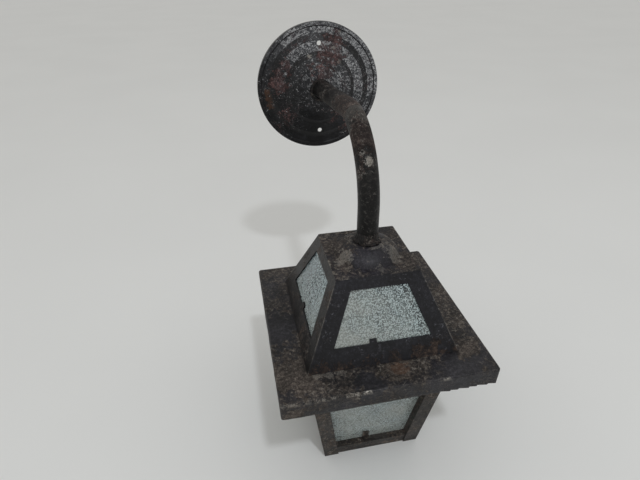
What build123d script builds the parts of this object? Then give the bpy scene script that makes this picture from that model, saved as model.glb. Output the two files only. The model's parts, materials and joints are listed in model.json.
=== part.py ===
"""Outdoor wall lantern: a glazed sheet-steel lantern hung from a bent tube on a round wall plate.

Millimetres. +X is to the right of somebody facing the wall, +Y goes into the wall, +Z is up.
The origin is the centre of the wall plate, on the wall's plane.

Heights of the lantern's own pieces are counted from the eave's top face, and their places from
the lantern's vertical axis. Each side is drawn once, as the front side, and turned to its place.
"""

from build123d import *
import os
from math import atan2, cos, degrees, hypot, radians, sin, tan

os.makedirs("parts", exist_ok=True)

# Driving dimensions
sheet = 1.2  # steel sheet of the plate, roof, eave and body
contact = 0.05  # gap left between pieces that lie against each other
sides = ("front", "right", "back", "left")
corners = ("front_left", "front_right", "back_right", "back_left")

arm_reach = 222.0  # wall plane to the lantern's axis
eave_drop = 165.5  # plate centre down to the eave's top face
arm_rise = 6.0  # degrees that the arm climbs from the plate
bend_radius = 68.4
tube_radius = 9.525
tube_wall = 1.5

plate_radius = 72.0
plate_hole_pitch = 100.0
plate_hole_radius = 2.5
rim_height = 5.0  # rim above the wall
ring_height = 9.5  # flat ring that takes the screws
shoulder_height = 13.5
boss_height = 17.0

eave_side = 190.0
eave_lip = 17.3
eave_corner_radius = 3.0
eave_edge_radius = 1.8
eave_opening = 112.0

roof_rise = 73.0
roof_foot = 68.2  # half the roof's side at the eave
roof_top = 37.0  # half the roof's side at the cap
cap_side = 75.0
dome_radius = 30.0
dome_rise = 11.5
sill_height = 18.0  # window's lower edge
head_height = 62.5  # window's upper edge
sill_half = 43.6
head_half = 25.2
tongue_width = 6.4
roof_tongue = 4.0
roof_pane = 3.0
roof_lap = 5.0  # how far a roof pane reaches past its window

body_top = 69.8  # half the body's side at the eave
body_foot = 49.8  # half the body's side at the bottom
body_drop = 144.0
post_leg = 14.5
post_return = 8.0  # depth of the post's folded edge
body_pane = 3.0
pane_depth = post_return + contact  # pane's front face, in from the post's face
rail_set_back = sheet + 0.2
rail_height = 12.0
ledge_depth = pane_depth + body_pane + 1.6
front_tab_height = 10.5
rear_tab_height = 3.0
tab_width = 8.0
tab_spread = 22.0  # rear tabs, each side of the middle

tube_foot = 74.0  # height of the tube's lower end
bush_length = 14.0
nipple_radius = 5.0
nipple_bore = 3.6
nipple_top, nipple_foot = 86.0, 55.0
holder_top = 66.0
holder_radius = 19.5
holder_wall = 2.0
holder_split = 45.0
holder_foot = 11.0
insert_foot = 37.5
shell_radius = 13.4
shell_wall = 0.5
bulb_tip_height = 36.0
bulb_cap_radius = 13.1
bulb_radius = 30.0
bulb_length = 105.0
bulb_wall = 0.8
bulb_neck = 12.4

core_radius = 0.95
core_level = -9.5  # y of the cores behind the plate

# Worked-out sizes
axis_y = -arm_reach
roof_lean = degrees(atan2(roof_foot - roof_top, roof_rise))
roof_slant = hypot(roof_foot - roof_top, roof_rise)
sheet_across = sheet / cos(radians(roof_lean))  # roof sheet measured level


def roof_half(height):
    """Half the roof's side at a height above the eave."""
    return roof_foot + (roof_top - roof_foot) * height / roof_rise


def body_half(height):
    """Half the body's side at a height, which is negative below the eave's top face."""
    return body_top + (body_top - body_foot) * height / body_drop


def level(height, turn=0):
    """Level plane on the lantern's axis, turned so that its -Y side is side number turn."""
    angle = radians(90 * turn)
    return Plane(
        origin=(0, axis_y, height - eave_drop), x_dir=(cos(angle), sin(angle), 0), z_dir=(0, 0, 1)
    )


def roof_slope(turn):
    """Plane on a roof panel's outer face, from the middle of its foot, +Y up the slope."""
    return Plane(level(0, turn).location * Location((0, -roof_foot, 0), (90 - roof_lean, 0, 0)))


def upright():
    """Plane through the lantern's axis, +X to the right and +Y up, for profiles to revolve."""
    return Plane(origin=(0, axis_y, -eave_drop), x_dir=(1, 0, 0), z_dir=(0, -1, 0))


lantern_axis = Axis((0, axis_y, 0), (0, 0, 1))


def save(piece, name):
    """Label a finished piece and write it as its own STEP file."""
    piece.part.label = name
    export_step(piece.part, f"parts/{name}.step")


def leaning_slab(turn, low, high, near, far, left, right):
    """Slab parallel to a body side, between two heights and two depths in from the side's face.

    left and right give the slab's ends at a height.
    """
    with BuildPart() as slab:
        for height in (low, high):
            face = -body_half(height)
            with BuildSketch(level(height, turn)):
                with BuildLine():
                    Polyline(
                        (left(height), face + near),
                        (right(height), face + near),
                        (right(height), face + far),
                        (left(height), face + far),
                        close=True,
                    )
                make_face()
        loft(ruled=True)
    return slab.part


def ring(inner, outer, low, high):
    """Round ring on the lantern's axis between two heights; an inner radius of 0 gives a disc."""
    with BuildPart() as piece:
        with BuildSketch(level(low)):
            Circle(outer)
            if inner:
                Circle(inner, mode=Mode.SUBTRACT)
        extrude(amount=high - low)
    return piece.part


# --- Wall plate -------------------------------------------------------------------------------

# The arm's straight run leaves the plate's centre and climbs to meet the lantern's axis.
arm_direction = Vector(0, -cos(radians(arm_rise)), sin(radians(arm_rise)))
tube_root_y = -14.0
tube_root = Vector(0, tube_root_y, -tube_root_y * tan(radians(arm_rise)))

with BuildPart() as tube_clearance:
    with BuildSketch(Plane(origin=(0, 0, 0), x_dir=(1, 0, 0), z_dir=arm_direction)):
        Circle(tube_radius + contact)
    extrude(amount=60)

# Pressed steps from the rolled rim up to the boss, as a sheet spun about the plate's axis
with BuildPart() as wall_plate:
    with BuildSketch(Plane.XY):
        with BuildLine():
            FilletPolyline(
                (plate_radius, 0),
                (plate_radius, -rim_height - 1),
                (68, -rim_height - 1),
                (67, -rim_height),
                (60, -rim_height),
                (53, -ring_height),
                (41.5, -ring_height),
                (37, -shoulder_height),
                (27, -boss_height + 0.6),
                (25.8, -boss_height),
                (4, -boss_height),
                radius=0.5,
            )
            offset(amount=sheet, side=Side.RIGHT)
        make_face()
    revolve(axis=Axis.Y)
    with BuildSketch(Plane.XZ.offset(-5)):
        with GridLocations(0, plate_hole_pitch, 1, 2):
            Circle(plate_hole_radius)
    extrude(amount=20, mode=Mode.SUBTRACT)
    add(tube_clearance.part, mode=Mode.SUBTRACT)
save(wall_plate, "wall_plate")

# --- Arm ----------------------------------------------------------------------------------------


def arm_route(shift_x=0.0, outward=0.0, start_y=tube_root_y):
    """Straight run, bend and drop of the arm, moved sideways and to the outside of the bend."""
    drop_y = axis_y - outward
    lift = outward / cos(radians(arm_rise))
    start = Vector(shift_x, start_y, -start_y * tan(radians(arm_rise)) + lift)
    corner = Vector(shift_x, drop_y, -drop_y * tan(radians(arm_rise)) + lift)
    return start, corner


with BuildPart() as arm_tube:
    start, corner = arm_route()
    with BuildLine() as arm_line:
        FilletPolyline(
            start, corner, Vector(0, axis_y, tube_foot - eave_drop), radius=bend_radius
        )
    with BuildSketch(Plane(origin=arm_line.line @ 0, z_dir=arm_line.line % 0)):
        Circle(tube_radius)
        Circle(tube_radius - tube_wall, mode=Mode.SUBTRACT)
    sweep()
save(arm_tube, "arm_tube")

# Weld bead where the tube leaves the boss: a ring spun about the plate's axis, bored for the tube
with BuildPart() as plate_weld:
    with BuildSketch(Plane.XY):
        with BuildLine():
            Polyline(
                (8, -boss_height),
                (13.2, -boss_height),
                (12.6, -boss_height - 1.8),
                (10.9, -boss_height - 3.2),
                (8, -boss_height - 3.4),
                close=True,
            )
        make_face()
    revolve(axis=Axis.Y)
    add(tube_clearance.part, mode=Mode.SUBTRACT)
save(plate_weld, "plate_weld")

# --- Roof cap, with a pressed dome that the tube passes through -----------------------------------

dome_top = roof_rise + dome_rise
with BuildPart() as roof_cap:
    with BuildSketch(level(roof_rise - sheet)):
        RectangleRounded(cap_side, cap_side, 1.5)
        Circle(dome_radius, mode=Mode.SUBTRACT)
    extrude(amount=sheet)
    with BuildSketch(upright()):
        with BuildLine():
            foot_line = Line((dome_radius + 1.5, roof_rise), (dome_radius - 0.5, roof_rise))
            dome_arc = ThreePointArc(
                foot_line @ 1, (23.0, roof_rise + 7.4), (13.5, dome_top)
            )
            Line(dome_arc @ 1, (tube_radius + contact, dome_top))
            offset(amount=sheet, side=Side.LEFT)
        make_face()
    revolve(axis=lantern_axis)
save(roof_cap, "roof_cap")

# Ragged bead round the tube on the dome
with BuildPart() as cap_weld:
    with BuildSketch(upright()):
        with BuildLine():
            Polyline(
                (tube_radius + contact, dome_top),
                (13.4, dome_top),
                (13.6, dome_top + 3),
                (12.6, dome_top + 7),
                (11.2, dome_top + 9.5),
                (tube_radius + contact, dome_top + 10.5),
                close=True,
            )
        make_face()
    revolve(axis=lantern_axis)
save(cap_weld, "cap_weld")

# --- Roof panels, panes and clips -----------------------------------------------------------------

slant_per_height = roof_slant / roof_rise
sill, head = sill_height * slant_per_height, head_height * slant_per_height
roof_tongue_shifts = {"front": -9.0, "right": 0.0, "back": 0.0, "left": 0.0}


def window_corners(lap, head_lap):
    """Corners of a window on the slope plane, grown past its edges by a lap."""
    grow = (sill_half - head_half) / (head - sill)
    low, high = sill - lap, head + head_lap
    low_half = sill_half + grow * lap + lap
    high_half = head_half - grow * head_lap + lap
    return [(-low_half, low), (low_half, low), (high_half, high), (-high_half, high)]


for turn, side in enumerate(sides):
    with BuildPart() as panel:
        for height in (0, roof_rise - sheet):
            outer = roof_half(height)
            inner = outer - sheet_across
            with BuildSketch(level(height, turn)):
                with BuildLine():
                    Polyline(
                        (-outer, -outer), (outer, -outer), (inner, -inner), (-inner, -inner), close=True
                    )
                make_face()
        loft(ruled=True)
        with BuildSketch(roof_slope(turn)):
            with BuildLine():
                Polyline(*window_corners(0, 0), close=True)
            make_face()
        extrude(amount=2 * sheet, both=True, mode=Mode.SUBTRACT)
        # a tongue left standing on the sill when the window was cut
        with BuildSketch(roof_slope(turn)):
            with Locations((roof_tongue_shifts[side], sill + roof_tongue / 2 - 0.5)):
                Rectangle(tongue_width, roof_tongue + 1)
        extrude(amount=-sheet)
    save(panel, f"roof_panel_{side}")

    with BuildPart() as pane:
        with BuildSketch(roof_slope(turn).offset(-sheet - contact)):
            with BuildLine():
                Polyline(*window_corners(roof_lap, roof_lap - 1), close=True)
            make_face()
        extrude(amount=-roof_pane)
    save(pane, f"roof_glass_{side}")

clip_width = 8.0
clip_sheet = 0.8


def clip_profile(edge, direction):
    """Z-shaped strip from the panel over the pane's edge, across the slope; edge is the pane's."""
    panel_face = -sheet - contact
    pane_back = panel_face - roof_pane - contact
    steps = [
        (0.4 + 6, panel_face),
        (0.4, panel_face),
        (0.4, pane_back),
        (-3.6, pane_back),
        (-3.6, pane_back - clip_sheet),
        (0.4 + clip_sheet, pane_back - clip_sheet),
        (0.4 + clip_sheet, panel_face - clip_sheet),
        (0.4 + 6, panel_face - clip_sheet),
    ]
    return [(edge + direction * along, depth) for along, depth in steps]


# Two clips on each sill and one under each head
with BuildPart() as roof_clips:
    for turn in range(4):
        for edge, direction, places in (
            (sill - roof_lap, -1, (-24.0, 24.0)),
            (head + roof_lap - 1, 1, (0.0,)),
        ):
            for place in places:
                across = Plane(
                    roof_slope(turn).location
                    * Location((place - clip_width / 2, 0, 0))
                    * Location(Plane.YZ)
                )
                with BuildSketch(across):
                    with BuildLine():
                        Polyline(*clip_profile(edge, direction), close=True)
                    make_face()
                extrude(amount=clip_width)
save(roof_clips, "roof_clips")

# --- Eave: a flat brim with a turned-down lip -------------------------------------------------------

with BuildPart() as eave:
    with BuildSketch(level(0)):
        RectangleRounded(eave_side, eave_side, eave_corner_radius)
    extrude(amount=-eave_lip)
    fillet(eave.faces().sort_by(Axis.Z)[-1].edges(), eave_edge_radius)
    offset(amount=-sheet, openings=eave.faces().sort_by(Axis.Z)[0])
    with BuildSketch(level(0)):
        Rectangle(eave_opening, eave_opening)
    extrude(amount=-2 * sheet, mode=Mode.SUBTRACT)
save(eave, "eave")

# --- Body: folded corner posts, rails and panes ------------------------------------------------------

body_high = -sheet  # the body stands against the eave's underside
body_low = -body_drop
rail_end = post_leg + contact
glass_end = post_leg - 3.0

for turn, corner_name in enumerate(corners):
    with BuildPart() as post:
        for height in (body_low, body_high):
            edge = -body_half(height)
            fold = edge + post_leg
            with BuildSketch(level(height, turn)):
                with BuildLine():
                    Polyline(
                        (edge, edge),
                        (fold, edge),
                        (fold, edge + post_return),
                        (fold - sheet, edge + post_return),
                        (fold - sheet, edge + sheet),
                        (edge + sheet, edge + sheet),
                        (edge + sheet, fold - sheet),
                        (edge + post_return, fold - sheet),
                        (edge + post_return, fold),
                        (edge, fold),
                        close=True,
                    )
                make_face()
        loft(ruled=True)
    save(post, f"body_post_{corner_name}")


def rail(turn, top, tabs_up, tongue_shift):
    """Rail between two posts: an upright face, a ledge at its top, and tabs that hold the pane.

    The tabs stand up from the ledge of a bottom rail and hang from the ledge of a top rail.
    The middle one in front of the pane is the tongue.
    """
    ledge = top - sheet
    end = body_half(ledge) - rail_end
    behind = pane_depth + body_pane + contact
    in_front = pane_depth - sheet - contact
    tabs = [(tongue_shift, tongue_width, front_tab_height, in_front)]
    tabs += [(place, tab_width, rear_tab_height, behind) for place in (-tab_spread, tab_spread)]
    with BuildPart() as piece:
        add(
            leaning_slab(
                turn,
                top - rail_height,
                top,
                rail_set_back,
                rail_set_back + sheet,
                lambda height: rail_end - body_half(height),
                lambda height: body_half(height) - rail_end,
            )
        )
        add(
            leaning_slab(
                turn, ledge, top, rail_set_back + sheet / 2, ledge_depth, lambda h: -end, lambda h: end
            )
        )
        for place, width, height, near in tabs:
            low, high = (ledge + sheet / 2, top + height) if tabs_up else (ledge - height, top - sheet / 2)
            add(
                leaning_slab(
                    turn, low, high, near, near + sheet, lambda h: place - width / 2, lambda h: place + width / 2
                )
            )
    return piece


bottom_ledge = body_low + rail_height
top_ledge = body_high - sheet
body_tongue_shifts = {"front": -5.5, "right": 0.0, "back": 0.0, "left": 0.0}
for turn, side in enumerate(sides):
    save(rail(turn, bottom_ledge, True, body_tongue_shifts[side]), f"bottom_rail_{side}")
    save(rail(turn, body_high, False, 0.0), f"top_rail_{side}")
    with BuildPart() as body_glass:
        add(
            leaning_slab(
                turn,
                bottom_ledge + contact,
                top_ledge - 2.5,
                pane_depth,
                pane_depth + body_pane,
                lambda height: glass_end - body_half(height),
                lambda height: body_half(height) - glass_end,
            )
        )
    save(body_glass, f"body_glass_{side}")

# --- Lampholder and what hangs it ---------------------------------------------------------------------

with BuildPart() as tube_bush:
    add(ring(nipple_radius, tube_radius - tube_wall, tube_foot, tube_foot + bush_length))
save(tube_bush, "tube_bush")

with BuildPart() as hanging_nipple:
    add(ring(nipple_bore, nipple_radius, nipple_foot, nipple_top))
    chamfer(hanging_nipple.edges().filter_by(GeomType.CIRCLE).sort_by(SortBy.RADIUS)[-2:], 0.6)
save(hanging_nipple, "hanging_nipple")

nut_thickness = 4.5
with BuildPart() as nipple_locknut:
    with BuildSketch(level(tube_foot - contact)):
        RegularPolygon(radius=7.0, side_count=6, major_radius=False)
        Circle(nipple_radius, mode=Mode.SUBTRACT)
    extrude(amount=-nut_thickness)
save(nipple_locknut, "nipple_locknut")

# Upper shell: a neck on the nipple that widens to a skirt
with BuildPart() as lampholder_cap:
    with BuildSketch(upright()):
        with BuildLine():
            Polyline(
                (nipple_radius, holder_top),
                (8.0, holder_top),
                (8.6, holder_top - 7),
                (15.5, holder_top - 12),
                (holder_radius, holder_split + 2),
                (holder_radius, holder_split),
                (holder_radius - holder_wall, holder_split),
                (holder_radius - holder_wall, holder_split + 2),
                (14.6, holder_top - 14),
                (nipple_radius, holder_top - 10),
                close=True,
            )
        make_face()
    revolve(axis=lantern_axis)
save(lampholder_cap, "lampholder_cap")

with BuildPart() as lampholder_body:
    add(ring(holder_radius - holder_wall, holder_radius, holder_foot, holder_split - contact))
    # grip ring near the foot
    add(ring(holder_radius - 0.5, holder_radius + 1.2, holder_foot + 4, holder_foot + 8))
    rim_edges = lampholder_body.edges().filter_by(GeomType.CIRCLE).group_by(Axis.Z)[0]
    fillet(rim_edges, 0.6)
save(lampholder_body, "lampholder_body")

insert_top = holder_split - 2
insert_radius = holder_radius - holder_wall - contact
core_hole_radius = 1.4
with BuildPart() as lampholder_insert:
    with BuildSketch(level(insert_foot)):
        Circle(insert_radius)
        with GridLocations(20, 0, 2, 1):
            Circle(core_hole_radius, mode=Mode.SUBTRACT)
    extrude(amount=insert_top - insert_foot)
    # skirt that stands round the screw shell
    with BuildSketch(level(insert_foot)):
        Circle(insert_radius)
        Circle(shell_radius + shell_wall + contact, mode=Mode.SUBTRACT)
    extrude(amount=-6)
save(lampholder_insert, "lampholder_insert")

with BuildPart() as screw_shell:
    add(ring(shell_radius, shell_radius + shell_wall, holder_foot + 3, insert_foot - contact))
save(screw_shell, "screw_shell")

# Live contact: a sprung strip under the insert, stopping just short of the lamp's tip
with BuildPart() as centre_contact:
    with BuildSketch(upright()):
        with BuildLine():
            Polyline(
                (-9, insert_foot - contact),
                (-4, insert_foot - contact),
                (0, bulb_tip_height + 0.9),
                (4, bulb_tip_height + 0.9),
                (4, bulb_tip_height + 0.4),
                (-0.2, bulb_tip_height + 0.4),
                (-4.2, insert_foot - contact - 0.5),
                (-9, insert_foot - contact - 0.5),
                close=True,
            )
        make_face()
    extrude(amount=2.5, both=True)
save(centre_contact, "centre_contact")

# --- Lamp -----------------------------------------------------------------------------------------------

cap_top = bulb_tip_height - 4.0
cap_foot = bulb_tip_height - 26.0
bulb_bottom = bulb_tip_height - bulb_length
bulb_centre = bulb_bottom + bulb_radius

with BuildPart() as bulb_tip:
    add(ring(0, 4.8, bulb_tip_height - 1.2, bulb_tip_height))
    fillet(bulb_tip.faces().sort_by(Axis.Z)[-1].edges(), 0.8)
save(bulb_tip, "bulb_tip")

with BuildPart() as bulb_insulator:
    with BuildSketch(upright()):
        with BuildLine():
            Polyline(
                (0, bulb_tip_height - 1.25),
                (5.4, bulb_tip_height - 1.25),
                (9.1, cap_top),
                (9.1, cap_top - 1.5),
                (0, cap_top - 1.5),
                close=True,
            )
        make_face()
    revolve(axis=lantern_axis)
save(bulb_insulator, "bulb_insulator")

with BuildPart() as bulb_cap:
    with BuildSketch(upright()):
        with BuildLine():
            FilletPolyline(
                (9.45, cap_top),
                (bulb_cap_radius, cap_top - 3),
                (bulb_cap_radius, cap_foot),
                radius=1.2,
            )
            offset(amount=0.35, side=Side.RIGHT)
        make_face()
    revolve(axis=lantern_axis)
save(bulb_cap, "bulb_cap")

# Glass envelope: a ball that draws in to the neck held by the cap
shoulder_angle = radians(38)
neck_top = cap_foot + 8
with BuildPart() as bulb_glass:
    with BuildSketch(upright()):
        with BuildLine():
            ball = CenterArc((0, bulb_centre), bulb_radius, -90, 90 + degrees(shoulder_angle))
            shoulder = TangentArc(
                ball @ 1, (bulb_neck, cap_foot - 1), tangent=ball % 1
            )
            Line(shoulder @ 1, (bulb_neck, neck_top))
            offset(amount=bulb_wall, side=Side.LEFT)
        make_face()
    revolve(axis=lantern_axis)
save(bulb_glass, "bulb_glass")

# --- Wiring -----------------------------------------------------------------------------------------------

block_near, block_far = 12.5, 23.5
block_half = 8.0
block_back = -boss_height + sheet + contact
block_front = block_back + 10.0
terminal_pitch = 9.0
stud_x = -20.0
nipple_centre_offset = 1.5

cores = {
    # name: (sideways, outward in the bend, where it ends behind the plate, lower end)
    "live_wire": (0.75, 1.3, (block_near - 0.5, terminal_pitch / 2), 50.0),
    "neutral_wire": (0.75, -1.3, (block_near - 0.5, -terminal_pitch / 2), 50.0),
    "earth_wire": (-nipple_centre_offset, 0.0, (stud_x + 6.0, 0.0), 50.0),
}
turn_radius = 5.0
for name, (shift_x, outward, (end_x, end_z), foot) in cores.items():
    start, corner = arm_route(shift_x, outward, core_level)
    with BuildPart() as core:
        with BuildLine() as core_line:
            FilletPolyline(
                Vector(end_x, core_level, end_z),
                start,
                corner,
                Vector(shift_x, axis_y - outward, foot - eave_drop),
                radius=[turn_radius, bend_radius + outward],
            )
        with BuildSketch(Plane(origin=core_line.line @ 0, z_dir=core_line.line % 0)):
            Circle(core_radius)
        sweep()
    save(core, name)

with BuildPart() as tube_grommet:
    with BuildSketch(Plane(origin=tube_root, x_dir=(1, 0, 0), z_dir=-arm_direction)):
        Circle(11.0)
        Circle(5.6, mode=Mode.SUBTRACT)
    extrude(amount=1.6)
    with BuildSketch(Plane(origin=tube_root, x_dir=(1, 0, 0), z_dir=arm_direction)):
        Circle(tube_radius - tube_wall - contact)
        Circle(5.6, mode=Mode.SUBTRACT)
    extrude(amount=5)
save(tube_grommet, "tube_grommet")

with BuildPart() as terminal_block:
    with BuildSketch(Plane.XZ.offset(-block_back)):
        with Locations(((block_near + block_far) / 2, 0)):
            RectangleRounded(block_far - block_near, 2 * block_half, 1.2)
    extrude(amount=-(block_front - block_back))
    # clamping screw wells, open towards the wall
    with BuildSketch(Plane.XZ.offset(-block_front)):
        with Locations(((block_near + block_far) / 2, 0)):
            with GridLocations(5.2, terminal_pitch, 2, 2):
                Circle(1.7)
    extrude(amount=4, mode=Mode.SUBTRACT)
save(terminal_block, "terminal_block")

with BuildPart() as terminal_screws:
    with BuildSketch(Plane.XZ.offset(-block_front + 4)):
        with Locations(((block_near + block_far) / 2, 0)):
            with GridLocations(5.2, terminal_pitch, 2, 2):
                Circle(1.5)
    extrude(amount=-2.2)
save(terminal_screws, "terminal_screws")

stud_base = -boss_height + sheet
with BuildPart() as earth_stud:
    with BuildSketch(Plane.XZ.offset(-stud_base)):
        with Locations((stud_x, 0)):
            Circle(2.0)
    extrude(amount=-9)
save(earth_stud, "earth_stud")

tag_level = core_level - core_radius - contact
with BuildPart() as earth_tag:
    with BuildSketch(Plane.XZ.offset(-tag_level)):
        with Locations((stud_x, 0)):
            Circle(4.2)
        with Locations((stud_x + 5.5, 0)):
            Rectangle(5, 3.2)
        with Locations((stud_x, 0)):
            Circle(2.0 + contact, mode=Mode.SUBTRACT)
    extrude(amount=0.8)
save(earth_tag, "earth_tag")

with BuildPart() as earth_nut:
    with BuildSketch(Plane.XZ.offset(-tag_level - contact)):
        with Locations((stud_x, 0)):
            RegularPolygon(radius=3.5, side_count=6, major_radius=False)
            Circle(2.0 + contact, mode=Mode.SUBTRACT)
    extrude(amount=-2.4)
save(earth_nut, "earth_nut")
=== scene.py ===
"""Looks of an outdoor wall lantern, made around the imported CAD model.

Metres. +X is to the right of somebody who faces the wall, +Y goes into the wall, +Z is up, and the
origin is the centre of the wall plate on the wall's plane. Heights named h are counted from the
top face of the eave, and plan positions from the lantern's own upright axis.
"""

import json
import logging
import math
from dataclasses import dataclass
from enum import Enum

import bmesh
import bpy
from mathutils import Matrix, Vector, noise


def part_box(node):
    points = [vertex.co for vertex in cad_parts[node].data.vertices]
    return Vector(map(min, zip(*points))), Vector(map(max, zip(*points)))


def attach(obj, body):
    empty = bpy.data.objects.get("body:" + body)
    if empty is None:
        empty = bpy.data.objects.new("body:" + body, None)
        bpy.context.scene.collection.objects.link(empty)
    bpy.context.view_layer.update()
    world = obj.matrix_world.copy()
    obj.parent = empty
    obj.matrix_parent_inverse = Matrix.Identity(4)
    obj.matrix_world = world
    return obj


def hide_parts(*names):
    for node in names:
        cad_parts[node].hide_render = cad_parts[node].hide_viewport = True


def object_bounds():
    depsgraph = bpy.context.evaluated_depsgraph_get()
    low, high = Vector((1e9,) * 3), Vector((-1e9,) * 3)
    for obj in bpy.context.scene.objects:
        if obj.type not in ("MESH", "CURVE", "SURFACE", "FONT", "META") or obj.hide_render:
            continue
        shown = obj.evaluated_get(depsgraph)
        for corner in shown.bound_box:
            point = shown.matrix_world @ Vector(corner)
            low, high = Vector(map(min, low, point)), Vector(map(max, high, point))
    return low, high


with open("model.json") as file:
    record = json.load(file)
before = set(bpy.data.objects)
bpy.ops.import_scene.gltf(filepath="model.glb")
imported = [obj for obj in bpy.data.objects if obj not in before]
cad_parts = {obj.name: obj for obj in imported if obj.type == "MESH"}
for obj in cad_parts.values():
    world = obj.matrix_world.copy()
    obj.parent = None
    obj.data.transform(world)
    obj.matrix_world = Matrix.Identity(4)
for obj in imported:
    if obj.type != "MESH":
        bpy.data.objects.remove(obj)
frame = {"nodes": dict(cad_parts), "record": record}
cad_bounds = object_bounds()

log = logging.getLogger("lantern")

MM = 0.001
eave_low, eave_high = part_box("eave")
AXIS = (eave_low + eave_high) / 2  # the lantern's upright axis passes through here
EAVE_TOP = eave_high.z
Colour = tuple[float, float, float, float]
Material = bpy.types.Material
Mesh = bmesh.types.BMesh
Tree = bpy.types.NodeTree
Link = bpy.types.NodeSocket | bpy.types.Node


def on_lantern(x: float, y: float, h: float) -> tuple[float, float, float]:
    """Place in metres for millimetres from the lantern's axis and from the eave's top face."""
    return (AXIS.x + x * MM, AXIS.y + y * MM, EAVE_TOP + h * MM)


def linear(code: str) -> Colour:
    """Turn an sRGB hex colour into a linear one.

    Args:
        code: Six hex digits after a hash sign.

    Returns:
        Red, green, blue and an alpha of 1.
    """
    shares = (int(code[start:start + 2], 16) / 255 for start in (1, 3, 5))
    red, green, blue = (c / 12.92 if c <= 0.04045 else ((c + 0.055) / 1.055) ** 2.4 for c in shares)
    return (red, green, blue, 1.0)


def add(
    tree: Tree,
    kind: str,
    inputs: dict[str | int, Link | float | tuple] | None = None,
    stops: tuple[tuple[float, str], ...] = (),
    **settings: object,
) -> bpy.types.Node:
    """Add a node with its settings and links.

    Args:
        tree: Node tree of the material.
        kind: Node type, without the ShaderNode that every one starts with.
        inputs: What feeds each input, by its name or number: a socket, a node or a constant. From
            and To stand for both ends of a range.
        stops: Places and hex colours of a colour ramp.
        **settings: Properties of the node.

    Returns:
        The new node.
    """
    node = tree.nodes.new("ShaderNode" + kind)
    for name, value in settings.items():
        setattr(node, name, value)
    if stops:
        elements = node.color_ramp.elements
        while len(elements) < len(stops):
            elements.new(0.5)
        for element, (position, code) in zip(elements, stops):
            element.position = position
            element.color = linear(code)
    given = dict(inputs or {})
    for end in ("From", "To"):
        if end in given:
            given[end + " Min"], given[end + " Max"] = given.pop(end)
    for key, value in given.items():
        if isinstance(key, int):
            socket = node.inputs[key]
        else:
            socket = next(s for s in node.inputs if s.enabled and s.name == key)
        if isinstance(value, bpy.types.Node):
            value = next(s for s in value.outputs if s.enabled)
        if isinstance(value, bpy.types.NodeSocket):
            tree.links.new(value, socket)
        else:
            socket.default_value = value
    return node


def blank_material(name: str) -> tuple[Material, Tree]:
    """Make a material with an empty node tree."""
    material = bpy.data.materials.new(name)
    material.use_nodes = True
    material.node_tree.nodes.clear()
    return material, material.node_tree


def show(tree: Tree, shader: bpy.types.Node) -> None:
    """Lead a shader to the material's output."""
    add(tree, "OutputMaterial", {"Surface": shader})


# --- Finishes ---------------------------------------------------------------------------------


@dataclass(frozen=True)
class Mark:
    """A stain, a scuff, a painted highlight or a painted dark reflection at one place, with a
    ragged edge.
    """

    centre: tuple[float, float, float]
    radius: float
    strength: float = 1.0


def wall_marks(*rows: tuple[float, ...]) -> tuple[Mark, ...]:
    """Marks from millimetres: x, y, z, radius and, where it is below 1, strength."""
    return tuple(Mark((x * MM, y * MM, z * MM), r * MM, *rest) for x, y, z, r, *rest in rows)


def lantern_marks(*rows: tuple[float, ...]) -> tuple[Mark, ...]:
    """Marks placed as on_lantern places them: x, y, h, radius and strength."""
    return tuple(Mark(on_lantern(x, y, h), r * MM, *rest) for x, y, h, r, *rest in rows)


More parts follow.
